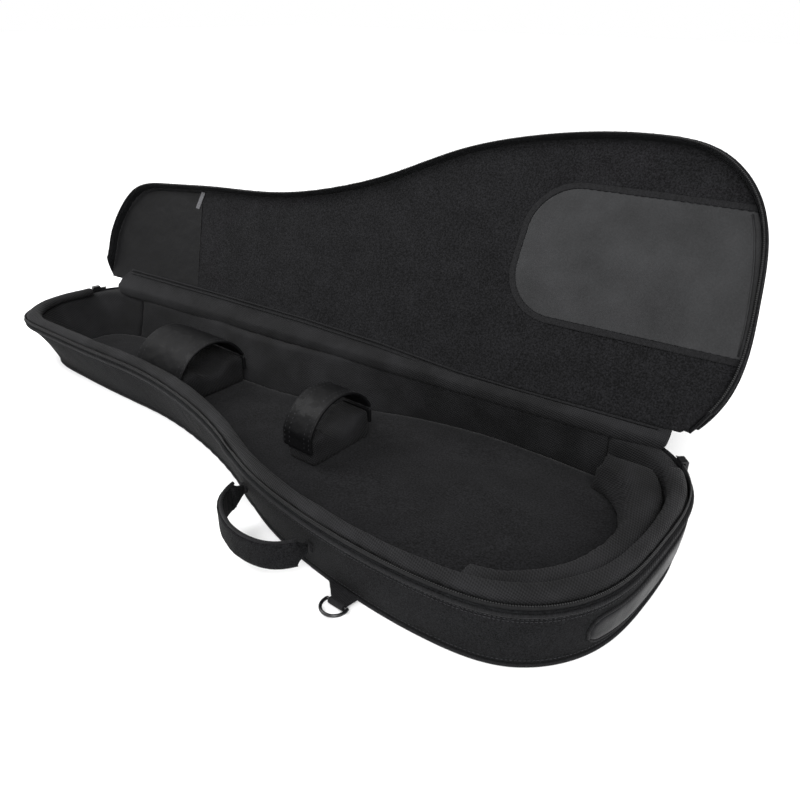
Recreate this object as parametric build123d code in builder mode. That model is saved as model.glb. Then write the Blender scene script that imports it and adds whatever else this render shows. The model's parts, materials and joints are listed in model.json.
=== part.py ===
from build123d import *
import math
import os

# Padded gig bag for a bass, lying on its back with the lid open. Millimetres.
# X runs along the bag (head at -X, tail at +X), Y across it (near side at -Y, hinge side at +Y),
# Z up. The origin is on the ground under the middle of the bottom panel.

# ---- driving dimensions -------------------------------------------------------------------
bag_length = 1180.0
head_end = -bag_length / 2
tail_end = bag_length / 2
# Half widths of the guitar-shaped outline at stations along the bag, from head to tail.
outline_stations = [
    (-582, 68), (-552, 112), (-475, 124), (-345, 121), (-215, 115), (-90, 126),
    (35, 157), (135, 193), (235, 213), (335, 220), (435, 215), (515, 192), (572, 128),
]
narrowest_half_width = 115.0

head_lean_in = 39.0       # the foot of the wall stands this far inside the rim at the head
tail_lean_in = 8.0        # and this far at the tail
bottom_thickness = 4.0
wall_foot = 4.2
wall_top = 83.0
skin_thickness = 2.5
padding_thickness = 18.0
layer_gap = 0.3

floor_pad_bottom = 4.5
floor_pad_top = 14.0
collar_bottom = 83.3
collar_top = 96.0
collar_outer_inset = 4.6
collar_width = 19.0
collar_bevel = 5.0
collar_cut = ((-620, 36), (520, 36), (520, 120), (560, 146), (620, 146), (620, 300), (-620, 300))
zip_cut = ((-580, 20), (535, 20), (535, 300), (-580, 300))
tail_cushion_top = 78.0
tail_cushion_width = 32.0
tail_cushion_start = 440.0

# Lid: a shallow padded panel that folds about a straight line along the hinge side.
hinge_x0 = -515.0
hinge_y0 = 82.5
hinge_slope = 0.1045      # the fold line runs outwards towards the tail
hinge_z = 97.0
lid_open_angle = 120.7    # degrees from closed, as the bag lies open
lid_rim_z = 88.9          # lowest edge of the closed lid
lid_gusset_bottom = 95.0
lid_panel_bottom = 110.0
lid_panel_top = 122.0
lining_bottom = 107.0
patch_bottom = 105.2
patch_top = 106.8
patch_lean = math.degrees(math.atan(hinge_slope))
pocket_bottom = 122.2

neck_half_gap = 46.0      # clear half width under the neck straps
strap_arch_top = 105.0
strap_thickness = 4.0
strap_foot = 36.0
strap_bend = 62.0
strap_root_top = 57.8

# Carry handle on the near wall: a padded band that bows out between two sewn ends.
handle_route = [(118, -191), (128, -224), (162, -250), (206, -260), (244, -250), (262, -221)]
handle_height = 34.0
handle_thickness = 7.0
handle_middle_z = 44.0

ring_x = 322.0            # D-rings at the foot of the wall, one each side
ring_bar_y = 229.5
ring_z = 5.4
ring_wire_radius = 2.0
ring_half_width = 15.0

slider_length = 14.0
slider_slot = (-0.5, 4.6)  # insets of the slot that the teeth run in
pull_length = 26.0

os.makedirs("parts", exist_ok=True)


# ---- shared geometry ----------------------------------------------------------------------
def lean_in(z):
    """Insets of the leaning wall at height z, at the head and at the tail."""
    share = 1 - z / wall_top
    return head_lean_in * share, tail_lean_in * share


def hinge_line_y(x):
    return hinge_y0 + hinge_slope * (x - hinge_x0)


def outline_points(inset_head, inset_tail):
    """Stations of the outline, moved inwards by an inset that changes from head to tail."""
    points = []
    for x, half_width in outline_stations:
        t = (x - head_end) / bag_length
        inset = inset_head + (inset_tail - inset_head) * t
        shrink = 1 - inset / max(half_width, narrowest_half_width)
        points.append((x + inset_head * (1 - t) - inset_tail * t, half_width * shrink))
    return points


def outline(inset_head=0.0, inset_tail=None, far_gap=None):
    """The bag's outline as a face. far_gap keeps the far side that much inside the fold line."""
    if inset_tail is None:
        inset_tail = inset_head
    stations = outline_points(inset_head, inset_tail)
    near = [(x, -half_width) for x, half_width in stations]
    far = list(stations)
    if far_gap is not None:
        far = [(x, min(half_width, hinge_line_y(x) - far_gap)) for x, half_width in stations]
    head_tip = (head_end + inset_head, 0)
    tail_tip = (tail_end - inset_tail, 0)
    with BuildLine() as edge:
        Spline(head_tip, *near, tail_tip, *reversed(far), periodic=True)
    make_face(edge.edges())


def leaning_block(z_low, z_high, extra, mode=Mode.ADD, far_gap=None):
    """A block between two heights whose side follows the leaning wall, extra mm inside it."""
    sections = []
    for z in (z_low, z_high):
        inset_head, inset_tail = lean_in(z)
        with BuildSketch(Plane.XY.offset(z)) as section:
            outline(inset_head + extra, inset_tail + extra, far_gap if z == z_high else None)
        sections.append(section.sketch.face())
    loft(sections, ruled=True, mode=mode)


def straight_block(plane, z_low, z_high, inset, mode=Mode.ADD):
    with BuildSketch(plane.offset(z_low)) as section:
        outline(inset)
    extrude(section.sketch.face(), amount=z_high - z_low, mode=mode)


def tapered_block(plane, low, high, mode=Mode.ADD):
    """A block between two (height, inset) levels."""
    sections = []
    for z, inset in (low, high):
        with BuildSketch(plane.offset(z)) as section:
            outline(inset)
        sections.append(section.sketch.face())
    loft(sections, ruled=True, mode=mode)


def keep_box(x_low, x_high, y_low, y_high, plane=Plane.XY):
    """Trims the current part to a range of x and y in a plane's own frame."""
    with BuildSketch(plane.offset(-10)) as limits:
        Polygon((x_low, y_low), (x_high, y_low), (x_high, y_high), (x_low, y_high), align=None)
    extrude(limits.sketch.face(), amount=400, mode=Mode.INTERSECT)


def keep_near_side(plane, gap, z_low=0.0, height=200.0):
    """Trims the current part to the near side of the fold line, gap mm away from it."""
    far_x = 700
    with BuildSketch(plane.offset(z_low)) as limits:
        Polygon(
            (-far_x, -400), (far_x, -400),
            (far_x, hinge_line_y(far_x) - gap), (-far_x, hinge_line_y(-far_x) - gap), align=None,
        )
    extrude(limits.sketch.face(), amount=height, mode=Mode.INTERSECT)


def open_hinge_side(corners):
    """Removes the current part along the hinge side, inside a polygon."""
    with BuildSketch() as limits:
        Polygon(*corners, align=None)
    extrude(limits.sketch.face(), amount=200, mode=Mode.SUBTRACT)


def finish(builder, name):
    builder.part.label = name
    export_step(builder.part, f"parts/{name}.step")


# The lid is drawn closed, in a plane that carries it to where it rests when open.
hinge_angle = math.atan(hinge_slope)
hinge_direction = Vector(math.cos(hinge_angle), math.sin(hinge_angle), 0)
hinge_origin = Vector(hinge_x0, hinge_y0, hinge_z)
hinge_axis = Axis(hinge_origin, hinge_direction)
closed_frame = Plane.XY
swing = Location(Plane(hinge_origin, x_dir=hinge_direction, z_dir=(0, 0, 1)))
turn = swing * Rotation(-lid_open_angle, 0, 0) * swing.inverse()
lid_plane = Plane(turn)

# ---- tray: bottom, wall and padding -------------------------------------------------------
with BuildPart() as bottom_panel:
    with BuildSketch():
        outline(*lean_in(0))
    extrude(amount=bottom_thickness)
finish(bottom_panel, "bottom_panel")

with BuildPart() as outer_wall:
    leaning_block(wall_foot, wall_top, 0)
    leaning_block(wall_foot, wall_top, skin_thickness, Mode.SUBTRACT)
finish(outer_wall, "outer_wall")

with BuildPart() as padding_ring:
    leaning_block(wall_foot, wall_top, skin_thickness + layer_gap)
    leaning_block(wall_foot, wall_top, skin_thickness + padding_thickness, Mode.SUBTRACT, far_gap=4)

padding_split = {
    "padding_head": (-600, -480, -300, 300),
    "padding_near": (-480 + layer_gap, 440, -300, 0),
    "padding_far": (-480 + layer_gap, 440, layer_gap, 300),
    "padding_tail": (440 + layer_gap, 600, -300, 300),
}
for name, limits in padding_split.items():
    with BuildPart() as padding:
        add(padding_ring.part)
        keep_box(*limits)
    finish(padding, name)

with BuildPart() as floor_padding:
    inner_face = skin_thickness + padding_thickness + layer_gap
    leaning_block(wall_foot, wall_top, inner_face, far_gap=4 + layer_gap)
    with BuildSketch(Plane.XY.offset(floor_pad_bottom)):
        Rectangle(1300, 500)
    extrude(amount=floor_pad_top - floor_pad_bottom, mode=Mode.INTERSECT)
finish(floor_padding, "floor_padding")

with BuildPart() as padded_collar:
    collar_shoulder = collar_top - collar_bevel
    inner_inset = collar_outer_inset + collar_width
    straight_block(Plane.XY, collar_bottom, collar_shoulder, collar_outer_inset)
    tapered_block(
        Plane.XY, (collar_shoulder, collar_outer_inset),
        (collar_top, collar_outer_inset + collar_bevel),
    )
    straight_block(Plane.XY, collar_bottom, collar_shoulder, inner_inset, Mode.SUBTRACT)
    tapered_block(
        Plane.XY, (collar_shoulder, inner_inset), (collar_top, inner_inset - collar_bevel),
        Mode.SUBTRACT,
    )
    open_hinge_side(collar_cut)
finish(padded_collar, "padded_collar")

with BuildPart() as tail_cushion:
    leaning_block(
        floor_pad_top + layer_gap, tail_cushion_top,
        skin_thickness + padding_thickness + 5,
    )
    leaning_block(
        floor_pad_top + layer_gap, tail_cushion_top,
        skin_thickness + padding_thickness + tail_cushion_width, Mode.SUBTRACT,
    )
    keep_box(tail_cushion_start, 600, -300, 148)
finish(tail_cushion, "tail_cushion")

# ---- tray: piping, zip and hinge strip ----------------------------------------------------
piping_width = 2.2
piping_rows = (("bottom_piping", 0.6, 3.4, 0.0), ("rim_piping", 76.0, 3.6, 79.6))
for name, z, height, wall_z in piping_rows:
    inset_head, inset_tail = lean_in(wall_z)
    with BuildPart() as piping:
        with BuildSketch(Plane.XY.offset(z)):
            outline(inset_head - piping_width, inset_tail - piping_width)
        extrude(amount=height)
        with BuildSketch(Plane.XY.offset(z)):
            outline(inset_head - 0.1, inset_tail - 0.1)
        extrude(amount=height, mode=Mode.SUBTRACT)
    finish(piping, name)

base_strips = {
    "base_zip_tape": (83.2, 87.2, 1.0, 2.6),
    "base_zip_teeth": (87.3, 88.6, 0.8, 2.8),
}
for name, (z_low, z_high, outer_inset, inner_inset) in base_strips.items():
    with BuildPart() as strip:
        straight_block(Plane.XY, z_low, z_high, outer_inset)
        straight_block(Plane.XY, z_low, z_high, inner_inset, Mode.SUBTRACT)
        open_hinge_side(zip_cut)
    finish(strip, name)

lid_strips = {
    "lid_zip_teeth": (lid_rim_z, 90.3, 0.8, 2.8, 48),
    "lid_zip_tape": (90.4, 94.8, 1.0, 2.6, 48),
    "lid_gusset": (lid_gusset_bottom, lid_panel_bottom - layer_gap, 0.4, 3.4, 44),
    "lid_rim_piping": (95.4, 98.6, -1.9, 0.2, 48),
}
for name, (z_low, z_high, outer_inset, inner_inset, gap) in lid_strips.items():
    with BuildPart() as strip:
        straight_block(lid_plane, z_low, z_high, outer_inset)
        straight_block(lid_plane, z_low, z_high, inner_inset, Mode.SUBTRACT)
        keep_near_side(lid_plane, gap)
    finish(strip, name)

hinge_length = 1062.0
hinge_strip_width = 11.0
hinge_middle_x = -20.0
hinge_strip_plane = Plane(
    origin=(hinge_middle_x, hinge_line_y(hinge_middle_x) - hinge_strip_width / 2 - 1, wall_top + 0.4),
    x_dir=hinge_direction, z_dir=(0, 0, 1),
)
with BuildPart() as hinge_gusset:
    with BuildSketch(hinge_strip_plane):
        Rectangle(hinge_length, hinge_strip_width)
    extrude(amount=hinge_z - 0.8 - wall_top - 0.4)
    fillet(hinge_gusset.edges().filter_by(Axis(hinge_origin, hinge_direction)).group_by(Axis.Z)[-1], 4)
finish(hinge_gusset, "hinge_gusset")

# ---- tray: neck cradle --------------------------------------------------------------------
cradles = {
    "neck": {"x": -225.0, "width": 120.0, "half": 62.0, "top": 62.0},
    "heel": {"x": 92.0, "width": 55.0, "half": 60.0, "top": 58.0},
}
for name, c in cradles.items():
    outer = c["half"] + strap_thickness
    with BuildPart() as block:
        with BuildSketch(Plane.YZ.offset(c["x"] - c["width"] / 2)):
            with Locations((0, (floor_pad_top + layer_gap + c["top"]) / 2)):
                Rectangle(2 * c["half"] - 1, c["top"] - floor_pad_top - layer_gap)
            with Locations((0, c["top"] + 22)):
                Circle(38, mode=Mode.SUBTRACT)
        extrude(amount=c["width"])
        fillet(block.edges().filter_by(Axis.X).group_by(Axis.Z)[-1], 6)
    finish(block, f"{name}_block")

    # The strap arches over the neck from its sewn far root, and a hook patch holds its near foot.
    with BuildPart() as strap:
        with BuildSketch(Plane.YZ.offset(c["x"] - c["width"] / 2)):
            with BuildLine():
                Line((-outer, strap_foot), (-outer, strap_bend))
                ThreePointArc((-outer, strap_bend), (0, strap_arch_top), (outer, strap_bend))
                offset(amount=-strap_thickness, side=Side.RIGHT)
            make_face()
        extrude(amount=c["width"])
    finish(strap, f"{name}_strap")

    with BuildPart() as strap_root:
        with BuildSketch(Plane.YZ.offset(c["x"] - c["width"] / 2)):
            with Locations((outer - strap_thickness / 2, (strap_foot + strap_root_top) / 2)):
                Rectangle(strap_thickness, strap_root_top - strap_foot)
        extrude(amount=c["width"])
    finish(strap_root, f"{name}_strap_root")

    with BuildPart() as hook_patch:
        with BuildSketch(Plane.XZ.offset(c["half"] - 0.45)):
            with Locations((c["x"], 42)):
                Rectangle(c["width"] - 14, 20)
        extrude(amount=0.4)
    finish(hook_patch, f"{name}_hook_patch")

# ---- tray: handle, D-rings and tail guard -------------------------------------------------
with BuildPart() as handle_anchors:
    with BuildSketch(Plane.XY.offset(handle_middle_z - 5)):
        with Locations((116.5, -181), (263, -212.4)):
            Rectangle(12, 5, rotation=-12)
    extrude(amount=10)
finish(handle_anchors, "handle_anchors")

# The handle narrows towards its two anchors, so that it can be lifted and let down.
handle_section = Plane(
    origin=(190, -206, handle_middle_z), x_dir=(-0.204, -0.979, 0), z_dir=(0.979, -0.204, 0)
)
with BuildPart() as carry_handle:
    with BuildSketch(Plane.XY.offset(handle_middle_z - handle_height / 2)):
        with BuildLine():
            Spline(*handle_route)
        trace(line_width=handle_thickness)
    extrude(amount=handle_height)
    with BuildSketch(handle_section):
        Polygon(
            (-4, -3), (-4, 3), (0, 5.5), (9, 18), (90, 18), (90, -18), (9, -18), (0, -5.5),
            align=None,
        )
    extrude(amount=200, both=True, mode=Mode.INTERSECT)
finish(carry_handle, "carry_handle")

for side, name in ((-1, "near"), (1, "far")):
    loop_plane = Plane(origin=(ring_x - 11, side * ring_bar_y, ring_z), x_dir=(0, side, 0), z_dir=(1, 0, 0))
    with BuildPart() as ring_tab:
        with BuildSketch(Plane.XY.offset(ring_z - 1)):
            Polygon(
                (ring_x - 34, side * 206.5), (ring_x + 14, side * 206.5),
                (ring_x + 11, side * (ring_bar_y - 2.8)), (ring_x - 11, side * (ring_bar_y - 2.8)),
                align=None,
            )
        extrude(amount=1.8)
        with BuildSketch(loop_plane):
            Circle(4)
            Circle(ring_wire_radius + 0.4, mode=Mode.SUBTRACT)
        extrude(amount=22)
    finish(ring_tab, f"ring_tab_{name}")

    left = (ring_x - ring_half_width, side * ring_bar_y, ring_z)
    right = (ring_x + ring_half_width, side * ring_bar_y, ring_z)
    crown = (ring_x, side * (ring_bar_y + ring_half_width + 5), ring_z)
    with BuildPart() as d_ring:
        with BuildLine() as bar:
            Line(left, right)
        with BuildSketch(Plane(origin=left, z_dir=(1, 0, 0))):
            Circle(ring_wire_radius)
        sweep(path=bar.line)
        with BuildLine() as bow:
            ThreePointArc(left, crown, right)
        with BuildSketch(Plane(origin=left, z_dir=bow.line % 0)):
            Circle(ring_wire_radius)
        sweep(path=bow.line)
        with Locations(left, right):
            Sphere(ring_wire_radius)
    finish(d_ring, f"d_ring_{name}")

scuff_bottom = 22.0
scuff_top = 56.0
scuff_y = (-130.0, 116.0)
guard_layers = (
    ("scuff_guard", 0.0, -2.6, -0.3),
    ("scuff_guard_piping", 3.0, -1.8, -0.3),
)
for name, border, outer_inset, inner_inset in guard_layers:
    with BuildPart() as guard:
        leaning_block(scuff_bottom - border, scuff_top + border, outer_inset)
        leaning_block(scuff_bottom - border, scuff_top + border, inner_inset, Mode.SUBTRACT)
        keep_box(450, 620, scuff_y[0] - border, scuff_y[1] + border)
        if border > 0:
            with BuildSketch(Plane.YZ.offset(450)):
                with Locations(((scuff_y[0] + scuff_y[1]) / 2, (scuff_bottom + scuff_top) / 2)):
                    Rectangle(scuff_y[1] - scuff_y[0] + 0.4, scuff_top - scuff_bottom + 0.4)
            extrude(amount=200, mode=Mode.SUBTRACT)
    finish(guard, name)

# ---- zip sliders and pulls on the tray ----------------------------------------------------
slider_places = {
    "tail": {"at": (545.3, 167.5), "along": (0.684, -0.7295)},
    "head": {"at": (-585.2, 52.0), "along": (0.15, 0.989)},
}
for name, place in slider_places.items():
    track = Plane(origin=(*place["at"], 0), x_dir=(*place["along"], 0), z_dir=(0, 0, 1))
    slot_low, slot_high = slider_slot
    with BuildPart() as slider:
        with BuildSketch(track.offset(wall_top + 0.8)):
            with Locations((0, -0.9)):
                Rectangle(slider_length, 8.8)
        extrude(amount=8)
        with BuildSketch(track.offset(wall_top + 0.8)):
            with Locations((0, -(slot_low + slot_high) / 2)):
                Rectangle(slider_length, slot_high - slot_low)
        extrude(amount=5.2, mode=Mode.SUBTRACT)
    finish(slider, f"zip_slider_{name}")

    with BuildPart() as pull:
        with BuildSketch(track.offset(wall_top + 6 - pull_length)):
            with Locations((0, 5)):
                Rectangle(9, 2)
        extrude(amount=pull_length)
    finish(pull, f"zip_pull_{name}")

# ---- lid ----------------------------------------------------------------------------------
near_direction = Vector(math.sin(hinge_angle), -math.cos(hinge_angle), 0)
closed_section = Plane(origin=hinge_origin, x_dir=near_direction, z_dir=-hinge_direction)
open_section = Plane(turn * closed_section.location)
bevel_offset = 3.0


def trim_hinge_bevel():
    """Cuts the lid back along a 45 degree plane through the fold, so that it clears the tray."""
    with BuildSketch(open_section) as limits:
        Polygon(
            (bevel_offset, -20), (bevel_offset, 0), (bevel_offset + 60, 60), (700, 60), (700, -20),
            align=None,
        )
    extrude(limits.sketch.face(), amount=1300, both=True, mode=Mode.INTERSECT)


with BuildPart() as lid_panel:
    straight_block(lid_plane, lid_panel_bottom, lid_panel_top - 4, 0)
    tapered_block(lid_plane, (lid_panel_top - 4, 0), (lid_panel_top, 4))
    trim_hinge_bevel()
finish(lid_panel, "lid_panel")

with BuildPart() as lid_lining:
    straight_block(lid_plane, lining_bottom, lid_panel_bottom - layer_gap, 3.8)
    trim_hinge_bevel()
finish(lid_lining, "lid_lining")

with BuildPart() as lid_edge_piping:
    straight_block(lid_plane, lid_panel_bottom + 1, lid_panel_bottom + 5, -2)
    straight_block(lid_plane, lid_panel_bottom + 1, lid_panel_bottom + 5, -0.1, Mode.SUBTRACT)
    keep_near_side(lid_plane, 24)
finish(lid_edge_piping, "lid_edge_piping")

# Leatherette headstock panel, cut straight across the lid.
with BuildPart() as headstock_panel:
    straight_block(lid_plane, patch_bottom, patch_top, 9)
    keep_near_side(lid_plane, 16)
    with BuildSketch(lid_plane) as limits:
        Polygon((-620, -200), (-402, -200), (-338, 120), (-620, 120), align=None)
    extrude(limits.sketch.face(), amount=200, mode=Mode.INTERSECT)
finish(headstock_panel, "headstock_panel")

with BuildPart() as label_tag:
    with BuildSketch(lid_plane.offset(patch_bottom - 1.2)):
        with Locations(Location((-386, -98), 12)):
            Rectangle(9, 32)
    extrude(amount=1)
finish(label_tag, "label_tag")

# Bridge guard: a U-shaped patch with a bound edge, its straight end at the lid's tail.
guard_plane = Plane(lid_plane.location * Location((400, -40, 0), (0, 0, patch_lean)))
guard_half_width = 104.0
guard_nose = -147.0
guard_tail = 200.0
binding_width = 9.0


def guard_shape(margin):
    """U shape whose round nose points to the head, margin mm inside the binding's edge."""
    half = guard_half_width - margin
    corner = 78 - margin
    with BuildLine() as edge:
        FilletPolyline(
            (guard_tail, -half), (guard_nose + margin, -half), (guard_nose + margin, half),
            (guard_tail, half), radius=corner,
        )
        Line((guard_tail, half), (guard_tail, -half))
    make_face(edge.edges())


with BuildPart() as bridge_guard:
    with BuildSketch(guard_plane.offset(patch_bottom)):
        guard_shape(binding_width)
    extrude(amount=patch_top - patch_bottom)
    straight_block(lid_plane, patch_bottom - 1, patch_top + 1, 4, Mode.INTERSECT)
finish(bridge_guard, "bridge_guard")

with BuildPart() as bridge_guard_binding:
    with BuildSketch(guard_plane.offset(patch_bottom - 0.4)):
        guard_shape(0)
    extrude(amount=patch_top - patch_bottom + 0.4)
    with BuildSketch(guard_plane.offset(patch_bottom - 0.4)):
        guard_shape(binding_width - 0.1)
    extrude(amount=patch_top - patch_bottom + 0.4, mode=Mode.SUBTRACT)
    straight_block(lid_plane, patch_bottom - 1, patch_top + 1, 4, Mode.INTERSECT)
finish(bridge_guard_binding, "bridge_guard_binding")

# ---- pockets on the outside of the lid ----------------------------------------------------
pockets = {
    "body_pocket": {"x": (-40, 545), "inset": 34, "height": 22, "zip": (150, 470, -130)},
    "neck_pocket": {"x": (-520, -90), "inset": 26, "height": 18, "zip": (-470, -150, -60)},
}
for name, p in pockets.items():
    top = pocket_bottom + p["height"]
    with BuildPart() as pocket:
        straight_block(lid_plane, pocket_bottom, top - 8, p["inset"])
        tapered_block(lid_plane, (top - 8, p["inset"]), (top, p["inset"] + 10))
        keep_box(*p["x"], -300, 300, lid_plane)
        keep_near_side(lid_plane, 52)
    finish(pocket, name)

    zip_start, zip_end, zip_y = p["zip"]
    with BuildPart() as pocket_zip:
        with BuildSketch(lid_plane.offset(top + layer_gap)):
            with Locations(((zip_start + zip_end) / 2, zip_y)):
                Rectangle(zip_end - zip_start, 26)
        extrude(amount=1)
        with BuildSketch(lid_plane.offset(top + layer_gap + 1)):
            with Locations(((zip_start + zip_end) / 2, zip_y)):
                Rectangle(zip_end - zip_start, 5)
        extrude(amount=1.4)
    finish(pocket_zip, f"{name}_zip")

    zip_top = top + layer_gap + 1
    with BuildPart() as slider:
        with BuildSketch(lid_plane.offset(zip_top + 0.3)):
            with Locations((zip_end - 12, zip_y)):
                Rectangle(slider_length, 9)
        extrude(amount=4.2)
        with BuildSketch(lid_plane.offset(zip_top + 0.3)):
            with Locations((zip_end - 12, zip_y)):
                Rectangle(slider_length, 5.8)
        extrude(amount=1.6, mode=Mode.SUBTRACT)
    finish(slider, f"{name}_slider")

    with BuildPart() as pull:
        with BuildSketch(lid_plane.offset(zip_top + 4.8)):
            with Locations((zip_end - 12 - pull_length / 2, zip_y)):
                Rectangle(pull_length, 8)
        extrude(amount=2)
    finish(pull, f"{name}_pull")
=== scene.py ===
import json
import math

import bpy
import numpy as np
from mathutils import Matrix, Quaternion, Vector, noise


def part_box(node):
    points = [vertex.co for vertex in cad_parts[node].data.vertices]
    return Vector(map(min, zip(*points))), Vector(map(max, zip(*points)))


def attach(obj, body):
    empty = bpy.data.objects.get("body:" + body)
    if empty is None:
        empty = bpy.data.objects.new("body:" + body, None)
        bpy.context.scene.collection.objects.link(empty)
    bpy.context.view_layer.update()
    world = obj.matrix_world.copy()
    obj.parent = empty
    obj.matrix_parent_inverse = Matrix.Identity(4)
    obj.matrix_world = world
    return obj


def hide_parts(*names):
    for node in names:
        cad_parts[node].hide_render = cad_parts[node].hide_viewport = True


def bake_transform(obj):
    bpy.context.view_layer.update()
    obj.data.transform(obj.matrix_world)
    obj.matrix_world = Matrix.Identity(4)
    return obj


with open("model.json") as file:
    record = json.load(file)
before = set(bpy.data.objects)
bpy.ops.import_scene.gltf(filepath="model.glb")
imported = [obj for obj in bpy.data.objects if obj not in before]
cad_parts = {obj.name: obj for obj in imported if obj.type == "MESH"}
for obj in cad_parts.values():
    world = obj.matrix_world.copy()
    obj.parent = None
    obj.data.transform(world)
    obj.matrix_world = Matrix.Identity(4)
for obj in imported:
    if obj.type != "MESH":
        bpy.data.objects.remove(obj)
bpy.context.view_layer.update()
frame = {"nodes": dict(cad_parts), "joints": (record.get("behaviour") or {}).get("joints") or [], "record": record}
nodes = frame["nodes"]
hinge = next(j for j in frame["joints"] if j["name"] == "lid_hinge")
HINGE = Vector(hinge["pos_m"])
HINGE_AXIS = -Vector(hinge["axis"]).normalized()
CLOSED = math.radians(-hinge["range_deg"][0])
TO_CLOSED = Matrix.Translation(HINGE) @ Matrix.Rotation(CLOSED, 4, HINGE_AXIS) @ Matrix.Translation(-HINGE)
FROM_CLOSED = TO_CLOSED.inverted()
BODY_OF = {n: b for b, group in frame["record"]["behaviour"]["bodies"].items() for n in group}
SLOT_OF = {s["node"]: s["material_slot"] for s in frame["record"]["subparts"]}


# ---- materials -------------------------------------------------------------------------------
class Shader:
    """Builds one procedural material, step by step."""

    def __init__(self, name, color, roughness, sheen=0.0, coat=0.0, shine=0.1):
        self.mat = bpy.data.materials.new(name)
        self.mat.use_nodes = True
        self.tree = self.mat.node_tree
        self.bsdf = self.tree.nodes["Principled BSDF"]
        self.bsdf.inputs["Base Color"].default_value = (*color, 1)
        self.bsdf.inputs["Roughness"].default_value = roughness
        self.bsdf.inputs["Sheen Weight"].default_value = sheen
        self.bsdf.inputs["Sheen Roughness"].default_value = 0.45
        self.bsdf.inputs["Coat Weight"].default_value = coat
        self.bsdf.inputs["Specular IOR Level"].default_value = shine
        self.color = color
        self.height = None
        self.coords = self.node("ShaderNodeTexCoord").outputs["Object"]

    def node(self, kind, links=(), **values):
        made = self.tree.nodes.new(kind)
        for key, value in values.items():
            if key in made.inputs:
                made.inputs[key].default_value = value
            else:
                setattr(made, key, value)
        for source, socket in links:
            self.tree.links.new(source, made.inputs[socket])
        return made

    def noise(self, scale, detail=4.0):
        """Cloudy noise, scale cells to the metre."""
        made = self.node("ShaderNodeTexNoise", [(self.coords, "Vector")], Scale=scale, Detail=detail)
        return made.outputs["Fac"]

    def cells(self, scale):
        """A pebbled grain, scale cells to the metre."""
        made = self.node("ShaderNodeTexVoronoi", [(self.coords, "Vector")], Scale=scale)
        return made.outputs["Distance"]

    def bands(self, pitch, direction):
        """A wave that repeats every pitch metres along a direction."""
        dot = self.node("ShaderNodeVectorMath", [(self.coords, 0)], operation="DOT_PRODUCT")
        dot.inputs[1].default_value = Vector(direction).normalized() * (2 * math.pi / pitch)
        sine = self.node("ShaderNodeMath", [(dot.outputs["Value"], 0)], operation="SINE")
        return sine.outputs[0]

    def math(self, operation, first, second):
        made = self.node("ShaderNodeMath", operation=operation)
        for index, value in enumerate((first, second)):
            if isinstance(value, (int, float)):
                made.inputs[index].default_value = value
            else:
                self.tree.links.new(value, made.inputs[index])
        return made.outputs[0]

    def ramp(self, value, low, high, low_at=0.3, high_at=0.7):
        made = self.node("ShaderNodeValToRGB", [(value, "Fac")])
        made.color_ramp.elements[0].position = low_at
        made.color_ramp.elements[1].position = high_at
        made.color_ramp.elements[0].color = (*low, 1)
        made.color_ramp.elements[1].color = (*high, 1)
        return made.outputs["Color"]

    def tint(self, value, dark, light, low_at=0.3, high_at=0.7):
        """Colours the surface between two shades of its own colour."""
        low = [c * dark for c in self.color]
        high = [c * light for c in self.color]
        self.tree.links.new(self.ramp(value, low, high, low_at, high_at), self.bsdf.inputs["Base Color"])

    def rough(self, value, low, high):
        made = self.node("ShaderNodeMapRange", [(value, "Value")])
        made.inputs["To Min"].default_value = low
        made.inputs["To Max"].default_value = high
        self.tree.links.new(made.outputs["Result"], self.bsdf.inputs["Roughness"])

    def bump(self, value, strength, distance):
        links = [(value, "Height")]
        if self.height is not None:
            links.append((self.height, "Normal"))
        made = self.node("ShaderNodeBump", links, Strength=strength, Distance=distance)
        self.height = made.outputs["Normal"]
        self.tree.links.new(self.height, self.bsdf.inputs["Normal"])


def woven(name, color, pitch, dark=0.35, light=2.1, sheen=0.01, shine=0.1):
    """Plain weave whose yarns vary from dark to light."""
    s = Shader(name, color, 0.85, sheen, shine=shine)
    across = s.bands(pitch, (1, 0, 0))
    along = s.bands(pitch, (0, 0.62, 0.78))
    weave = s.math("MULTIPLY", across, along)
    fleck = s.math("ADD", s.noise(650, 2), s.math("MULTIPLY", weave, 0.10))
    broad = s.math("ADD", fleck, s.math("MULTIPLY", s.math("SUBTRACT", s.noise(14), 0.5), 0.22))
    s.tint(broad, dark, light, 0.34, 0.68)
    s.bump(weave, 0.5, 0.0003)
    s.bump(s.noise(60, 5), 0.35, 0.0012)
    return s.mat


def air_mesh(name, color):
    """Spacer mesh: small dark holes in a knitted face."""
    s = Shader(name, color, 0.78, 0.02, shine=0.16)
    rise = s.bands(0.0036, (0.8, 0.7, 0.25))
    fall = s.bands(0.0036, (0.5, -0.2, -0.75))
    knit = s.math("MULTIPLY", rise, fall)
    s.tint(s.math("ADD", s.math("MULTIPLY", knit, 0.25), s.noise(18)), 0.35, 2.0, 0.30, 0.80)
    s.bump(knit, 0.7, 0.0008)
    s.bump(s.noise(22, 3), 0.3, 0.003)
    return s.mat


def plush(name, color):
    """Short brushed pile with lighter patches where it is rubbed."""
    s = Shader(name, color, 0.95, 0.05)
    pile = s.noise(420, 3)
    rubbed = s.math("MULTIPLY", s.math("SUBTRACT", s.noise(26, 5), 0.5), 0.22)
    s.tint(s.math("ADD", pile, rubbed), 0.4, 2.3, 0.36, 0.72)
    s.bump(s.noise(700, 2), 0.7, 0.0006)
    s.bump(s.noise(35, 4), 0.5, 0.002)
    return s.mat


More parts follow.
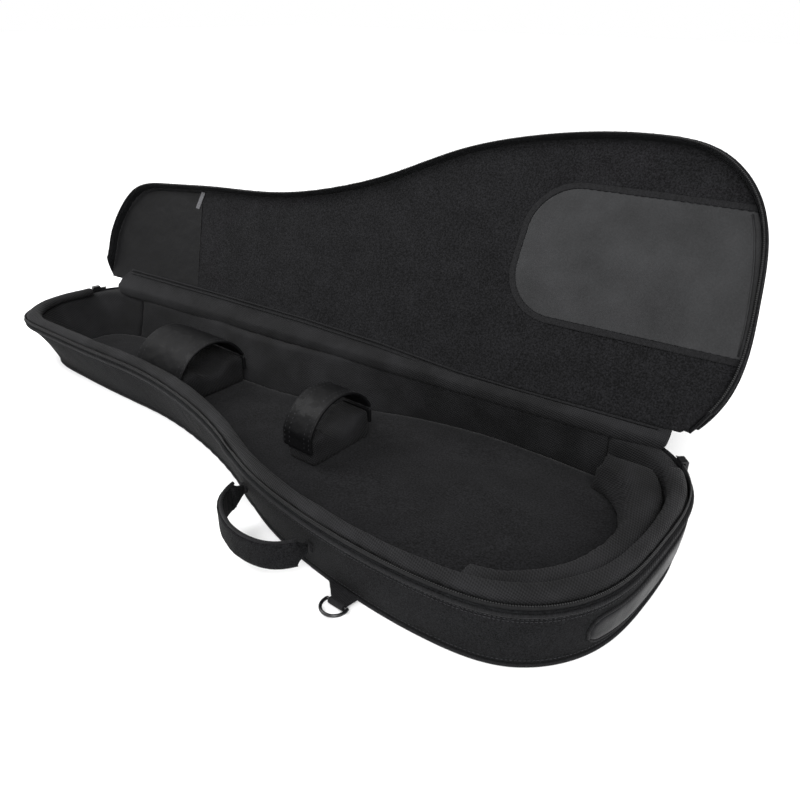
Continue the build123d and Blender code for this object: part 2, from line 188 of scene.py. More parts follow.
def leather(name, color, roughness, grain=520, shine=0.22):
    """Coated cloth with a fine grain, creases and a shine that wears unevenly."""
    s = Shader(name, color, roughness, 0, 0.02, shine=shine)
    broad = s.math("MULTIPLY", s.noise(16, 3), 0.6)
    fine = s.math("MULTIPLY", s.noise(420, 2), 0.4)
    s.tint(s.math("ADD", broad, fine), 0.6, 1.5)
    s.rough(s.noise(28, 5), roughness - 0.10, roughness + 0.16)
    s.bump(s.cells(grain), 0.35, 0.0003)
    s.bump(s.noise(30, 4), 0.45, 0.0028)
    return s.mat


def ribbed(name, color, pitch=0.0016):
    """Webbing or tape with fine ribs and a slight fuzz."""
    s = Shader(name, color, 0.75, 0.02, shine=0.15)
    ribs = s.bands(pitch, (0.9, 0.3, 0.3))
    s.tint(s.math("ADD", s.noise(300, 3), s.math("MULTIPLY", ribs, 0.08)), 0.6, 1.7)
    s.bump(ribs, 0.6, 0.0004)
    return s.mat


def hard(name, color, roughness, metallic=0.0):
    """Moulded or painted hard surface with slight mottling and scuffs."""
    s = Shader(name, color, roughness, 0, 0.1, shine=0.4)
    s.bsdf.inputs["Metallic"].default_value = metallic
    s.tint(s.noise(120, 5), 0.8, 1.25)
    s.rough(s.noise(240, 6), roughness * 0.75, roughness * 1.6)
    s.bump(s.noise(500, 3), 0.12, 0.0002)
    return s.mat


MATERIALS = {
    "outer_fabric": woven("outer_fabric", (0.0036, 0.0037, 0.0040), 0.0011, 0.15, 3.2, shine=0.05),
    "mesh_fabric": air_mesh("mesh_fabric", (0.0062, 0.0062, 0.0068)),
    "plush_fabric": plush("plush_fabric", (0.0048, 0.0048, 0.0053)),
    "smooth_fabric": woven("smooth_fabric", (0.006, 0.006, 0.0066), 0.0008, 0.7, 1.4),
    "leatherette": leather("leatherette", (0.0034, 0.0034, 0.0037), 0.48, shine=0.09),
    "gloss_vinyl": leather("gloss_vinyl", (0.0045, 0.0045, 0.0052), 0.34, 900, 0.07),
    "satin_vinyl": leather("satin_vinyl", (0.0140, 0.0142, 0.0150), 0.50, 800, 0.15),
    "webbing": ribbed("webbing", (0.0048, 0.0048, 0.0054)),
    "zip_tape": ribbed("zip_tape", (0.0050, 0.0050, 0.0054), 0.0010),
    "zip_coil": hard("zip_coil", (0.0035, 0.0035, 0.0038), 0.45),
    "black_metal": hard("black_metal", (0.012, 0.012, 0.013), 0.30, 0.6),
    "gloss_black": hard("gloss_black", (0.005, 0.005, 0.0056), 0.22),
    "hook_tape": plush("hook_tape", (0.004, 0.004, 0.0045)),
    "tag_cloth": woven("tag_cloth", (0.09, 0.09, 0.095), 0.0007, 0.8, 1.2),
    "thread": ribbed("thread", (0.020, 0.020, 0.022), 0.0009),
}


# ---- mesh tools ------------------------------------------------------------------------------
def new_object(name, verts, faces, slot):
    """A smooth-shaded mesh object made of one material."""
    mesh = bpy.data.meshes.new(name)
    mesh.from_pydata([tuple(v) for v in verts], [], faces)
    mesh.validate()
    mesh.update()
    made = bpy.data.objects.new(name, mesh)
    bpy.context.scene.collection.objects.link(made)
    mesh.materials.append(MATERIALS[slot])
    mesh.polygons.foreach_set("use_smooth", [True] * len(mesh.polygons))
    return made


def settle(obj):
    """Applies an object's modifiers to its mesh."""
    graph = bpy.context.evaluated_depsgraph_get()
    mesh = bpy.data.meshes.new_from_object(obj.evaluated_get(graph))
    old = obj.data
    obj.modifiers.clear()
    obj.data = mesh
    bpy.data.meshes.remove(old)
    mesh.polygons.foreach_set("use_smooth", [True] * len(mesh.polygons))


def ruffle(obj, size, depth, level=0.5):
    """Presses broad, shallow waves of the given size into a mesh. A level near 1 only sinks it."""
    texture = bpy.data.textures.new(obj.name + "_waves", "CLOUDS")
    texture.noise_scale = size
    waves = obj.modifiers.new("waves", "DISPLACE")
    waves.texture = texture
    waves.strength = depth
    waves.mid_level = level
    waves.texture_coords = "LOCAL"


def place(obj, body, replaced):
    """Rides obj on a body, in place of the CAD nodes it stands for."""
    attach(obj, body)
    if replaced:
        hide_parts(*replaced)
    return obj


SWELL_FRAMES = 20


def inflate(obj, pressure, cap):
    """Lets air pressure swell a pad, no point further than cap metres."""
    before = np.array([v.co for v in obj.data.vertices])
    cloth = obj.modifiers.new("cloth", "CLOTH")
    settings = cloth.settings
    settings.use_pressure = True
    settings.uniform_pressure_force = pressure
    settings.effector_weights.gravity = 0
    settings.quality = 5
    settings.tension_stiffness = 20
    settings.compression_stiffness = 20
    cloth.point_cache.frame_start = 1
    cloth.point_cache.frame_end = SWELL_FRAMES
    for step in range(1, SWELL_FRAMES + 1):
        bpy.context.scene.frame_set(step)
    settle(obj)
    after = np.array([v.co for v in obj.data.vertices])
    move = after - before
    length = np.linalg.norm(move, axis=1, keepdims=True)
    after = before + move * np.minimum(1, cap / np.maximum(length, 1e-9))
    obj.data.vertices.foreach_set("co", after.ravel())
    obj.data.update()
    bpy.context.scene.frame_set(1)


def soften(node, voxel, rounds, wave=None, swell=None, fill=None, outset=0.0003):
    """A soft copy of a CAD node: rounded edges, (size, depth) waves and a (pressure, cap) swell."""
    source = nodes[node]
    obj = bpy.data.objects.new(node + "_soft", source.data.copy())
    bpy.context.scene.collection.objects.link(obj)
    obj.data.materials.clear()
    remesh = obj.modifiers.new("voxels", "REMESH")
    remesh.mode = "VOXEL"
    remesh.voxel_size = voxel
    remesh.adaptivity = 0
    smooth = obj.modifiers.new("round", "SMOOTH")
    smooth.factor = 0.5
    smooth.iterations = rounds
    fuller = obj.modifiers.new("fuller", "DISPLACE")
    fuller.strength = outset
    fuller.mid_level = 0
    settle(obj)
    if swell:
        inflate(obj, *swell)
    if wave:
        ruffle(obj, *wave)
        settle(obj)
    slot = SLOT_OF[node]
    obj.data.materials.clear()
    obj.data.materials.append(MATERIALS[slot])
    return place(obj, BODY_OF[node], [node])


def node_points(node, closed=False):
    """A node's vertices, with the lid open or turned closed."""
    points = np.array([v.co for v in nodes[node].data.vertices])
    if closed:
        turn = np.array(TO_CLOSED)
        points = points @ turn[:3, :3].T + turn[:3, 3]
    return points


SAME_HEIGHT = 0.0006


def ring(node, level, span, closed=False, step=0.004):
    """Points along a node's outer outline, read off its vertices near one height, even steps apart."""
    turn = TO_CLOSED if closed else Matrix.Identity(4)
    mesh = nodes[node].data
    chosen = []
    for face in mesh.polygons:
        normal = turn.to_3x3() @ face.normal
        middle = turn @ face.center
        outward = normal.x * middle.x + normal.y * middle.y
        if abs(normal.z) < 0.9 and outward > 0:
            chosen += [turn @ mesh.vertices[i].co for i in face.vertices]
    chosen = np.array(chosen)
    chosen = chosen[np.abs(chosen[:, 2] - level) < SAME_HEIGHT]
    angle = np.arctan2(chosen[:, 1], chosen[:, 0])
    radius = np.hypot(chosen[:, 0], chosen[:, 1])
    bins = {}
    for a, r in zip(np.round(angle, 4), radius):
        bins[a] = max(bins.get(a, 0), r)
    keys = np.array(sorted(bins))
    values = np.array([bins[k] for k in keys])
    dense = np.linspace(span[0], span[1], 6000)
    reach = np.interp(dense, keys, values, period=2 * math.pi)
    path = np.stack([reach * np.cos(dense), reach * np.sin(dense)], 1)
    run = np.concatenate([[0], np.cumsum(np.linalg.norm(np.diff(path, axis=0), axis=1))])
    even = np.arange(0, run[-1], step)
    return np.stack([np.interp(even, run, path[:, 0]), np.interp(even, run, path[:, 1])], 1)


def path_frames(path):
    """The directions along a flat path and out of it at each of its points."""
    ahead = np.gradient(path, axis=0)
    ahead /= np.linalg.norm(ahead, axis=1, keepdims=True)
    out = np.stack([ahead[:, 1], -ahead[:, 0]], 1)
    return ahead, out


# A bead is a four-sided bar with a point at each end.
BEAD_CORNERS = (
    (-1, 0, 0), (-0.6, 1, 0), (-0.6, 0, 1), (-0.6, -1, 0), (-0.6, 0, -1),
    (0.6, 1, 0), (0.6, 0, 1), (0.6, -1, 0), (0.6, 0, -1), (1, 0, 0),
)
BEAD_FACES = (
    (1, 5, 6, 2), (2, 6, 7, 3), (3, 7, 8, 4), (4, 8, 5, 1),
    (0, 1, 2), (0, 2, 3), (0, 3, 4), (0, 4, 1), (9, 6, 5), (9, 7, 6), (9, 8, 7), (9, 5, 8),
)


def row_of(name, path, height, shape, slot, body, replaced=(), closed=False, out_shift=0.0):
    """Sews a row of small rounded beads along a path: stitches or zip teeth."""
    length, width, thick = shape
    ahead, out = path_frames(path)
    corners = [(x * length / 2, y * width / 2, z * thick / 2) for x, y, z in BEAD_CORNERS]
    verts, faces = [], []
    for p, a, o in zip(path, ahead, out):
        base = len(verts)
        for x, y, z in corners:
            q = Vector((*(p + a * x + o * (y + out_shift)), height + z))
            verts.append(FROM_CLOSED @ q if closed else q)
        faces += [tuple(base + k for k in face) for face in BEAD_FACES]
    return place(new_object(name, verts, faces, slot), body, replaced)


def tube_faces(rings, sides):
    """The faces of a tube of rings with sides points each, and its two end caps."""
    faces = []
    for i in range(rings - 1):
        for k in range(sides):
            a, b = i * sides + k, i * sides + (k + 1) % sides
            faces.append((a, b, b + sides, a + sides))
    last = (rings - 1) * sides
    return faces + [tuple(range(sides))[::-1], tuple(last + k for k in range(sides))]


def thicken(obj, thickness, offset):
    """Gives a sheet its thickness, to one side of it or to both."""
    thick = obj.modifiers.new("thick", "SOLIDIFY")
    thick.thickness = thickness
    thick.offset = offset
    settle(obj)


# ---- tray: outer wall as a sewn shell --------------------------------------------------------
TOP_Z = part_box("outer_wall")[1].z
FOOT_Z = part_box("outer_wall")[0].z
FULL_TURN = (-math.pi, math.pi)
WALL_BOW = 0.0016
WALL_THICK = 0.0022
foot_ring = ring("outer_wall", FOOT_Z, FULL_TURN, step=0.002)
foot_angles = np.arctan2(foot_ring[:, 1], foot_ring[:, 0])
foot_order = np.argsort(foot_angles)
FOOT_ANGLES, FOOT_REACH = foot_angles[foot_order], np.hypot(*foot_ring.T)[foot_order]


def foot_under(top):
    """The wall's foot below each point of its top edge."""
    angle = np.arctan2(top[:, 1], top[:, 0])
    reach = np.interp(angle, FOOT_ANGLES, FOOT_REACH, period=2 * math.pi)
    return np.stack([reach * np.cos(angle), reach * np.sin(angle)], 1)


def cloth_wave(x, y, z):
    """Slight irregular waves in stretched cloth."""
    spot = Vector((x, y, z * 0.6))
    return 0.0016 * noise.noise(spot * 8) + 0.0004 * noise.noise(spot * 34)


def wall_shell():
    """The tray's wall: an outer and an inner face of slightly wavy cloth, closed at top and foot."""
    top = ring("outer_wall", TOP_Z, FULL_TURN)
    foot = foot_under(top)
    _, out = path_frames(top)
    levels = np.linspace(0, 1, 22)
    count = len(top)
    verts = []
    for side in (0.0, -WALL_THICK):
        for t in levels:
            bow = math.sin(math.pi * t)
            z = FOOT_Z * (1 - t) + TOP_Z * t
            flat = foot * (1 - t) + top * t
            ripple = np.array([cloth_wave(x, y, z) for x, y in flat])
            xy = flat + out * (WALL_BOW * bow + side + ripple * bow)[:, None]
            verts += [(x, y, z) for x, y in xy]
    faces = []
    rows = len(levels)
    for layer in range(2):
        for r in range(rows - 1):
            for c in range(count):
                base = layer * rows * count
                a, b = base + r * count + c, base + r * count + (c + 1) % count
                quad = (a, b, b + count, a + count)
                faces.append(quad if layer == 0 else quad[::-1])
    for r in (0, rows - 1):
        for c in range(count):
            a, b = r * count + c, r * count + (c + 1) % count
            quad = (a, b, b + rows * count, a + rows * count)
            faces.append(quad[::-1] if r == 0 else quad)
    return new_object("outer_wall_shell", verts, faces, "outer_fabric")


place(wall_shell(), "tray", ["outer_wall"])

# ---- soft pieces -----------------------------------------------------------------------------
SOFT = {
    "padding_head": dict(voxel=0.004, rounds=7, wave=(0.05, 0.0022), fill=0.7),
    "padding_near": dict(voxel=0.004, rounds=5, wave=(0.06, 0.004), fill=0.7),
    "padding_far": dict(voxel=0.004, rounds=5, wave=(0.06, 0.004), fill=0.7),
    "padding_tail": dict(voxel=0.004, rounds=5, wave=(0.05, 0.003), fill=0.7),
    "floor_padding": dict(voxel=0.005, rounds=4, wave=(0.12, 0.004), fill=0.4),
    "padded_collar": dict(voxel=0.0028, rounds=9, wave=(0.05, 0.0022), swell=(3.0, 0.002), fill=0.85),
    "tail_cushion": dict(voxel=0.004, rounds=9, wave=(0.06, 0.004), swell=(4.0, 0.005), fill=0.8),
    "neck_block": dict(voxel=0.004, rounds=8, wave=(0.05, 0.004), fill=0.8),
    "heel_block": dict(voxel=0.004, rounds=8, wave=(0.05, 0.004), fill=0.8),
    "neck_strap": dict(voxel=0.0017, rounds=4, wave=(0.035, 0.0030), fill=0.3),
    "heel_strap": dict(voxel=0.0017, rounds=4, wave=(0.028, 0.0026), fill=0.3),
    "carry_handle": dict(voxel=0.0020, rounds=10, wave=(0.035, 0.0022), swell=(3.0, 0.002), fill=0.7),
    "lid_panel": dict(voxel=0.0035, rounds=2, wave=(0.10, 0.003), fill=0.5, outset=0.0007),
    "body_pocket": dict(voxel=0.005, rounds=10, wave=(0.10, 0.0035, 0.85), fill=0.5, outset=0),
    "neck_pocket": dict(voxel=0.005, rounds=10, wave=(0.08, 0.0030, 0.85), fill=0.5, outset=0),
}
# Thin trims: rounded cords, tapes and patches.
TRIM = {
    "lid_edge_piping": dict(voxel=0.0011, rounds=5),
    "lid_rim_piping": dict(voxel=0.0011, rounds=5),
    "lid_lining": dict(voxel=0.0018, rounds=2, wave=(0.09, 0.002), outset=0.0006),
    "lid_gusset": dict(voxel=0.0013, rounds=2, wave=(0.05, 0.0006), outset=0.0006),
    "headstock_panel": dict(voxel=0.0011, rounds=3, wave=(0.035, 0.0018)),
    "bridge_guard": dict(voxel=0.0011, rounds=3, wave=(0.12, 0.0022)),
    "bridge_guard_binding": dict(voxel=0.0010, rounds=3, wave=(0.05, 0.0012)),
    "neck_strap_root": dict(voxel=0.0014, rounds=3),
    "heel_strap_root": dict(voxel=0.0014, rounds=3),
    "ring_tab_near": dict(voxel=0.0009, rounds=4),
    "ring_tab_far": dict(voxel=0.0009, rounds=4),
    "label_tag": dict(voxel=0.0006, rounds=2),
    "handle_anchors": dict(voxel=0.0010, rounds=4),
}
for name, settings in {**SOFT, **TRIM}.items():
    soften(name, **settings)

# ---- the fold: cloth that runs from the tray up into the lid ---------------------------------
FAR = Vector((-HINGE_AXIS.y, HINGE_AXIS.x, 0))
UP = Vector((0, 0, 1))
LEAN_COS, LEAN_SIN = math.cos(math.pi - CLOSED), math.sin(math.pi - CLOSED)
# How far the fold climbs the lid, by tray station x.
FOLD_REACH = (
    (-0.56, 0.034), (-0.30, 0.032), (-0.10, 0.029), (0.05, 0.023),
    (0.20, 0.012), (0.30, 0.010), (0.53, 0.010),
)
FOLD_SPAN = (-0.548, 0.520, 0.008)
FOLD_TIP, FOLD_TAPER_RUN = 0.35, 0.022
PIPING_RADIUS = 0.0017


def by_hinge(x, far, up):
    """A point over tray station x, offset far and up from the fold's line."""
    return HINGE + HINGE_AXIS * ((x - HINGE.x) / HINGE_AXIS.x) + FAR * far + UP * up


def fold_reach(x):
    """How far the fold climbs the lid at one station."""
    return float(np.interp(x, *zip(*FOLD_REACH)))


def on_lid(reach, depth):
    """A point of the open lid, reach from the fold and depth outwards, as (far, up)."""
    return reach * LEAN_COS + depth * LEAN_SIN, reach * LEAN_SIN - depth * LEAN_COS


def fold_roll():
    """The mesh covered roll beside the lid, tapered at both ends."""
    verts, section = [], []
    x_low, x_high, _ = FOLD_SPAN
    stations = np.arange(*FOLD_SPAN)
    for x in stations:
        reach = fold_reach(x)
        wave = 0.0016 * noise.noise(Vector((x * 22, 0, 0))) + 0.0010 * noise.noise(Vector((x * 70, 3, 0)))
        # Round the roll from behind the tray's wall, up over it, along the lid and back below.
        section = [
            (-0.0066, -0.022), (-0.0068 + wave, -0.004), (-0.0045 + wave, 0.0012), (0.0015, 0.0040 + wave),
            (0.0075 + wave, 0.0082), on_lid(reach * 0.62, 0.0068), on_lid(reach, 0.0076),
            on_lid(reach + 0.002, 0.0105), on_lid(0.034, 0.026), on_lid(0.027, 0.0275),
            (0.022 + wave, -0.002), (0.010, -0.0145),
        ]
        taper = min(1.0, FOLD_TIP + min(x - x_low, x_high - x) / FOLD_TAPER_RUN)
        verts += [by_hinge(x, far * taper, up * taper) for far, up in section]
    made = new_object("fold_roll", verts, tube_faces(len(stations), len(section)), "mesh_fabric")
    rounder = made.modifiers.new("round", "SUBSURF")
    rounder.levels = 2
    settle(made)
    return made


def tube(name, route, radius, slot, sides=8):
    """A sewn cord along a route of points."""
    verts = []
    for i, spot in enumerate(route):
        ahead = (route[min(i + 1, len(route) - 1)] - route[max(i - 1, 0)]).normalized()
        side = ahead.orthogonal() if abs(ahead.z) > 0.9 else ahead.cross(UP).normalized()
        lift = side.cross(ahead).normalized()
        for k in range(sides):
            turn = 2 * math.pi * k / sides
            verts.append(spot + (side.normalized() * math.cos(turn) + lift * math.sin(turn)) * radius)
    return new_object(name, verts, tube_faces(len(route), sides), slot)


def lid_spot(x, reach, depth):
    """A point on the open lid over tray station x."""
    return by_hinge(x, *on_lid(reach, depth))


def fold_line(shift, depth, x_low, x_high):
    """A route along the fold's upper edge, on the lid's lining."""
    return [lid_spot(x, fold_reach(x) + shift, depth) for x in np.arange(x_low, x_high, 0.006)]


def blend_over_fold(obj):
    """Bakes the transform of a piece that runs between the tray and the lid into its mesh."""
    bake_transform(obj)


for index, shift in enumerate((0.0012, -0.0050)):
    cord = tube(f"fold_piping_{index}", fold_line(shift, 0.0062, -0.528, 0.500), PIPING_RADIUS, "webbing")
    blend_over_fold(cord)

# The guard's flap ends in a turned hem beside the lid's tail, as (station x, reach) points.
HEM = (
    (0.532, 0.308), (0.541, 0.285), (0.549, 0.255), (0.555, 0.225),
    (0.560, 0.190), (0.563, 0.160), (0.565, 0.126),
)
hem = tube("bridge_guard_hem", [lid_spot(*spot, 0.0072) for spot in HEM], 0.0013, "satin_vinyl")
place(hem, "lid", ())

fold = fold_roll()
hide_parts("hinge_gusset")
blend_over_fold(fold)


# ---- stitches over the straps ----------------------------------------------------------------
STRAP_CENTRE = (0, 0.045)
STITCH_TURNS = (-8, 188, 64)
OUTER_ROW, INNER_ROW = 0.004, 0.0128


def sew_over(strap, index, x):
    """A row of stitches over an arched strap at one x, found by looking at the strap from outside."""
    obj = bpy.data.objects[strap + "_soft"]
    hits = []
    for angle in np.radians(np.linspace(*STITCH_TURNS)):
        ray = Vector((0, math.cos(angle), math.sin(angle)))
        found, spot, normal, _ = obj.ray_cast(Vector((x, *STRAP_CENTRE)) + ray * 0.2, -ray)
        if found:
            hits.append((spot, normal))
    verts, faces = [], []
    for (a, normal), (b, _) in zip(hits[::2], hits[1::2]):
        side = (b - a).normalized().cross(normal) * 0.0005
        lift = normal * 0.0004
        base = len(verts)
        verts += [a - lift, a + (b - a) * 0.2 + side, a + (b - a) * 0.2 + lift, a + (b - a) * 0.2 - side,
                  a + (b - a) * 0.8 + side, a + (b - a) * 0.8 + lift, a + (b - a) * 0.8 - side, b - lift]
        faces += [tuple(base + k for k in f) for f in
                  ((0, 1, 2), (0, 2, 3), (1, 4, 5, 2), (2, 5, 6, 3), (4, 7, 5), (5, 7, 6))]
    place(new_object(f"{strap}_stitches_{index}", verts, faces, "thread"), strap, ())


for strap in ("neck_strap", "heel_strap"):
    low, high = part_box(strap)
    rows = (low.x + OUTER_ROW, low.x + INNER_ROW, high.x - INNER_ROW, high.x - OUTER_ROW)
    for index, x in enumerate(rows):
        sew_over(strap, index, x)


# ---- carry handle ----------------------------------------------------------------------------
def handle_edge(height):
    """The middle of the handle's ribbon at one height, read off its outer face."""
    points = node_points("carry_handle")
    level = points[np.abs(points[:, 2] - height) < SAME_HEIGHT]
    low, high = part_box("carry_handle")
    centre = np.array([(low.x + high.x) / 2, high.y])
    offset = level[:, :2] - centre
    angle = np.arctan2(offset[:, 1], offset[:, 0])
    reach = np.hypot(*offset.T)
    route = []
    for a in np.linspace(angle.min(), angle.max(), 40):
        close = np.abs(angle - a) < 0.08
        if close.any():
            r = (reach[close].max() + reach[close].min()) / 2
            route.append(Vector((centre[0] + r * math.cos(a), centre[1] + r * math.sin(a), height)))
    for _ in range(6):
        route[1:-1] = [(a + b * 2 + c) / 4 for a, b, c in zip(route, route[1:], route[2:])]
    return route


handle_low, handle_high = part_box("carry_handle")
for name, height in (("low", handle_low.z), ("high", handle_high.z)):
    edge = tube(f"handle_piping_{name}", handle_edge(height), 0.0024, "webbing")
    place(edge, "carry_handle", ())


def ribbon(name, route, tall, thick, slot):
    """A flat webbing ribbon on edge, whose half height changes along its route."""
    verts = []
    corners = ((-1, -0.7), (-0.6, -1), (0.6, -1), (1, -0.7), (1, 0.7), (0.6, 1), (-0.6, 1), (-1, 0.7))
    for i, spot in enumerate(route):
        ahead = (route[min(i + 1, len(route) - 1)] - route[max(i - 1, 0)]).normalized()
        side = ahead.cross(UP).normalized()
        verts += [spot + side * (x * thick) + UP * (z * tall[i]) for x, z in corners]
    return new_object(name, verts, tube_faces(len(route), len(corners)), slot)


anchor_low, anchor_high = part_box("handle_anchors")
handle_joint = next(j for j in frame["joints"] if j["name"] == "carry_handle_hinge")
handle_along = -Vector(handle_joint["axis"]).normalized()
handle_out = handle_along.cross(UP).normalized()
handle_middle = (handle_low.z + handle_high.z) / 2
TAB_HEIGHTS = (0.0050, 0.0062, 0.0085, 0.0135, 0.0172)
TAB_THICK = 0.0042
TAB_INSET, TAB_DEEP = 0.0072, 0.0038
# Each tab: where it leaves the wall, and its (out, along) steps to the handle.
tabs = {
    "head": (Vector((anchor_low.x + TAB_INSET, anchor_high.y - TAB_DEEP, handle_middle)),
             ((0, 0), (0.0050, 0.0015), (0.0095, 0.0035), (0.016, 0.0060), (0.024, 0.0095))),
    "tail": (Vector((anchor_high.x - TAB_INSET, anchor_low.y + TAB_DEEP, handle_middle)),
             ((0, 0), (0.0050, 0.0006), (0.0086, 0.0008), (0.016, -0.0010), (0.024, -0.0036))),
}
for end, (root, steps) in tabs.items():
    route = [root + handle_out * out + handle_along * along for out, along in steps]
    tab = ribbon(f"handle_tab_{end}", route, TAB_HEIGHTS, TAB_THICK, "outer_fabric")
    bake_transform(tab)


# ---- lid corners -----------------------------------------------------------------------------
CORNER_TAPER = 1.4
CORNER_THICK = 0.0026
CORNER_CORD = 0.0019


def corner_angle(points, end):
    """The angle round the tray at which the closed lid's points stop beside the fold."""
    angles = np.arctan2(points[:, 1], points[:, 0]) % (2 * math.pi)
    if end == "head":
        return angles[angles > math.pi / 2].min()
    turned = (angles + math.pi / 2) % (2 * math.pi) - math.pi / 2
    return turned[turned < math.pi / 2].max()


def lid_corner(end):
    """The lid's side narrows into the fold: a tapered strip and the cord along its rim."""
    panel = node_points("lid_panel", True)
    teeth = node_points("lid_zip_teeth", True)
    middle_z = panel[:, 2].min() + 0.003
    span = (corner_angle(teeth, end), corner_angle(panel, end))
    path = ring("lid_panel", panel[:, 2].min(), span, True, step=0.002)
    _, out = path_frames(path)
    if end == "head":
        out = -out
    verts, faces, cord = [], [], []
    count = len(path)
    rim_low = float(teeth[:, 2].min())
    for i, (p, o) in enumerate(zip(path - out * 0.0018, out)):
        low = rim_low + (middle_z - 0.002 - rim_low) * (i / max(count - 1, 1)) ** CORNER_TAPER
        verts += [FROM_CLOSED @ Vector((*p, low)), FROM_CLOSED @ Vector((*p, middle_z))]
        cord.append(FROM_CLOSED @ Vector((*(p + o * 0.001), low + CORNER_THICK)))
        if i:
            faces.append((2 * i - 2, 2 * i, 2 * i + 1, 2 * i - 1))
    strip = new_object(f"lid_corner_{end}", verts, faces, "outer_fabric")
    thicken(strip, CORNER_THICK, 0)
    place(strip, "lid", ())
    place(tube(f"lid_corner_cord_{end}", cord, CORNER_CORD, "webbing"), "lid", ())


for end in ("head", "tail"):
    lid_corner(end)

# ---- zip teeth -------------------------------------------------------------------------------
PITCH = 0.0027
for node, closed in (("base_zip_teeth", False), ("lid_zip_teeth", True)):
    points = node_points(node, closed)
    low, high = points[:, 2].min(), points[:, 2].max()
    angles = np.sort(np.arctan2(points[:, 1], points[:, 0]) % (2 * math.pi))
    gaps = np.diff(np.concatenate([angles, [angles[0] + 2 * math.pi]]))
    widest = int(np.argmax(gaps))
    start = angles[(widest + 1) % len(angles)]
    span = (start, start + 2 * math.pi - gaps[widest])
    path = ring(node, low, span, closed, step=PITCH)
    row_of(node + "_coil", path, (low + high) / 2, (0.0019, 0.0026, high - low), "zip_coil",
           BODY_OF[node], [node], closed, out_shift=-0.0013)

# ---- pipings, stitches and the scuff guard round the wall ------------------------------------
rim = ring("outer_wall", TOP_Z, FULL_TURN, step=0.0045)
rim_foot = foot_under(rim)
rim_angle = np.arctan2(rim[:, 1], rim[:, 0])
rim_order = np.argsort(rim_angle)


def climb(height):
    """How far up the wall a height is, from 0 at the foot to 1 at the rim."""
    return (height - FOOT_Z) / (TOP_Z - FOOT_Z)


def wall_path(height):
    """The wall's outer face round the tray at one height."""
    share = climb(height)
    path = rim_foot * (1 - share) + rim * share
    _, out = path_frames(path)
    return path + out * (WALL_BOW * math.sin(math.pi * share)), out


for node, rise in (("rim_piping", 0.0018), ("bottom_piping", 0.0022)):
    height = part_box(node)[0].z + rise
    path, out = wall_path(height)
    route = [Vector((*spot, height)) for spot in path + out * 0.0012]
    place(tube(node + "_cord", route + route[:2], 0.0021, "webbing"), "tray", [node])


def wall_spot(angle, height):
    """A point on the wall's outer face."""
    share = climb(height)
    foot_reach = float(np.interp(angle, FOOT_ANGLES, FOOT_REACH, period=2 * math.pi))
    rim_reach = float(np.interp(angle, rim_angle[rim_order], np.hypot(*rim.T)[rim_order], period=2 * math.pi))
    radius = foot_reach * (1 - share) + rim_reach * share
    return Vector((radius * math.cos(angle), radius * math.sin(angle), height))


PATCH_THICK = 0.0022
PATCH_GAP = 0.0012
PATCH_PUFF = 0.0022


def scuff_patch():
    """A raised patch with round ends, wrapped round the tail wall, and the piping at its edge."""
    low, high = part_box("scuff_guard")
    middle, half = (low.z + high.z) / 2, (high.z - low.z) / 2
    start, stop = math.atan2(low.y, high.x), math.atan2(high.y, high.x)
    length = high.y - low.y
    columns, rows = 90, 13
    verts, faces, edge_low, edge_high = [], [], [], []
    for i in range(columns + 1):
        u = i / columns
        along = min(u, 1 - u) * length  # distance to the nearer rounded end
        tall = half * math.sqrt(max(0.0, 1 - max(0.0, 1 - along / half) ** 2)) + 0.0004
        angle = start + (stop - start) * u
        ahead = wall_spot(angle + 0.01, middle) - wall_spot(angle - 0.01, middle)
        out = Vector((ahead.y, -ahead.x, 0)).normalized()
        for j in range(rows):
            v = 2 * j / (rows - 1) - 1
            puff = PATCH_GAP + PATCH_PUFF * (1 - abs(v) ** 6) * min(1.0, tall / half * 1.4)
            verts.append(wall_spot(angle, middle + v * tall) + out * (puff + PATCH_GAP))
        edge_low.append(wall_spot(angle, middle - tall - PATCH_GAP) + out * PATCH_THICK)
        edge_high.append(wall_spot(angle, middle + tall + PATCH_GAP) + out * PATCH_THICK)
    for i in range(columns):
        for j in range(rows - 1):
            a = i * rows + j
            faces.append((a, a + rows, a + rows + 1, a + 1))
    patch = new_object("scuff_guard_patch", verts, faces, "gloss_vinyl")
    thicken(patch, PATCH_THICK, -1)
    piping = tube("scuff_guard_cord", edge_low + edge_high[::-1] + edge_low[:2], PIPING_RADIUS, "webbing")
    place(patch, "tray", ["scuff_guard"])
    place(piping, "tray", ["scuff_guard_piping"])


scuff_patch()

STITCH_HEIGHTS = (0.0725, 0.0690, 0.0095)
STITCH_SHAPE = (0.0030, 0.0009, 0.0010)
for index, height in enumerate(STITCH_HEIGHTS):
    path, _ = wall_path(height)
    row_of(f"wall_stitches_{index}", path, height, STITCH_SHAPE, "thread", "tray", out_shift=0.0004)

# ---- hard pieces keep their CAD shape --------------------------------------------------------
for name, node in nodes.items():
    if not node.hide_render:
        node.data.materials.clear()
        node.data.materials.append(MATERIALS[SLOT_OF[name]])

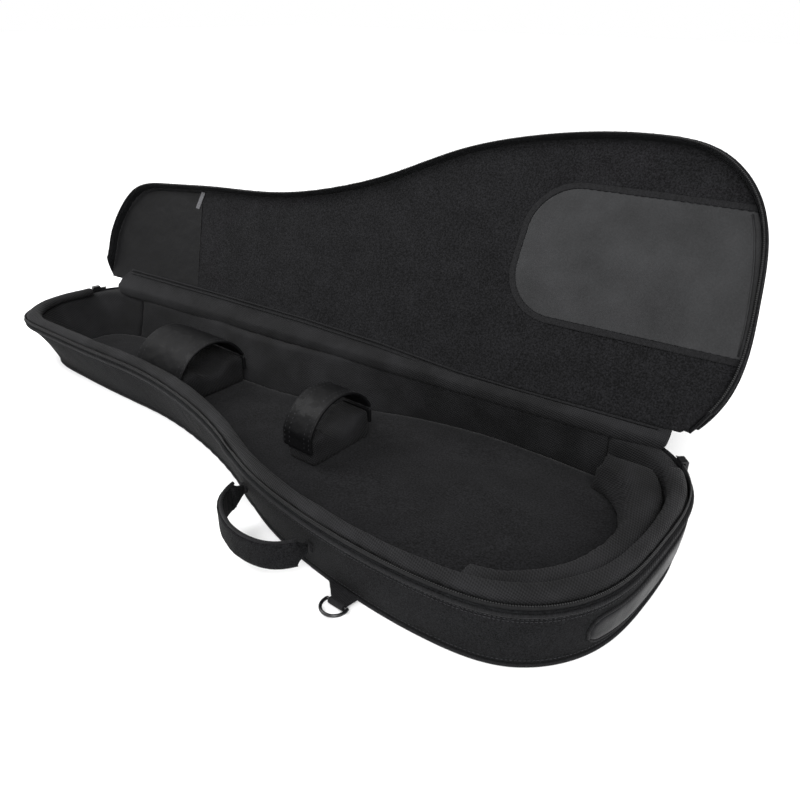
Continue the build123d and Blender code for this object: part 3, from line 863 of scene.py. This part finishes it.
# ---- stage, light and camera -----------------------------------------------------------------
FLOOR_HALF = 14.0
floor = new_object(
    "floor",
    [(x * FLOOR_HALF, y * FLOOR_HALF, -0.0005) for x, y in ((-1, -1), (1, -1), (1, 1), (-1, 1))],
    [(0, 1, 2, 3)],
    "tag_cloth",
)
ground = Shader("pale_floor", (0.93, 0.93, 0.93), 0.9)
ground.tint(ground.noise(3), 0.99, 1.01)
floor.data.materials.clear()
floor.data.materials.append(ground.mat)

world = bpy.data.worlds.new("studio")
bpy.context.scene.world = world
world.use_nodes = True
world.node_tree.nodes["Background"].inputs["Color"].default_value = (1, 1, 1, 1)
world.node_tree.nodes["Background"].inputs["Strength"].default_value = 1.0


def lamp(name, kind, spot, target, power, **settings):
    """A light at spot that points at target."""
    light = bpy.data.lights.new(name, kind)
    light.energy = power
    for key, value in settings.items():
        setattr(light, key, value)
    made = bpy.data.objects.new(name, light)
    bpy.context.scene.collection.objects.link(made)
    made.location = spot
    made.rotation_euler = (Vector(target) - Vector(spot)).to_track_quat("-Z", "Y").to_euler()


lamp("sky_key", "SUN", (1.2, -1.6, 2.6), (0, 0, 0), 1.5, angle=math.radians(35))
lamp("side", "AREA", (1.5, -1.6, 1.3), (0.2, -0.1, 0.1), 30, size=0.9)
lamp("back", "AREA", (-1.2, -0.6, 1.8), (0, 0.1, 0.2), 25, size=1.0)

YAW, PITCH_DOWN, ROLL = 2.244, 0.484, 0.012  # radians
camera_data = bpy.data.cameras.new("camera")
camera_data.sensor_width = 36
camera_data.lens = 34.30
camera = bpy.data.objects.new("camera", camera_data)
bpy.context.scene.collection.objects.link(camera)
level = math.cos(PITCH_DOWN)
forward = Vector((math.cos(YAW) * level, math.sin(YAW) * level, -math.sin(PITCH_DOWN)))
aim = forward.to_track_quat("-Z", "Y") @ Quaternion((0, 0, 1), ROLL)
camera.rotation_euler = aim.to_euler()
camera.location = (0.7731, -0.6881, 0.5966)
bpy.context.scene.camera = camera
bpy.context.scene.view_settings.view_transform = "Standard"
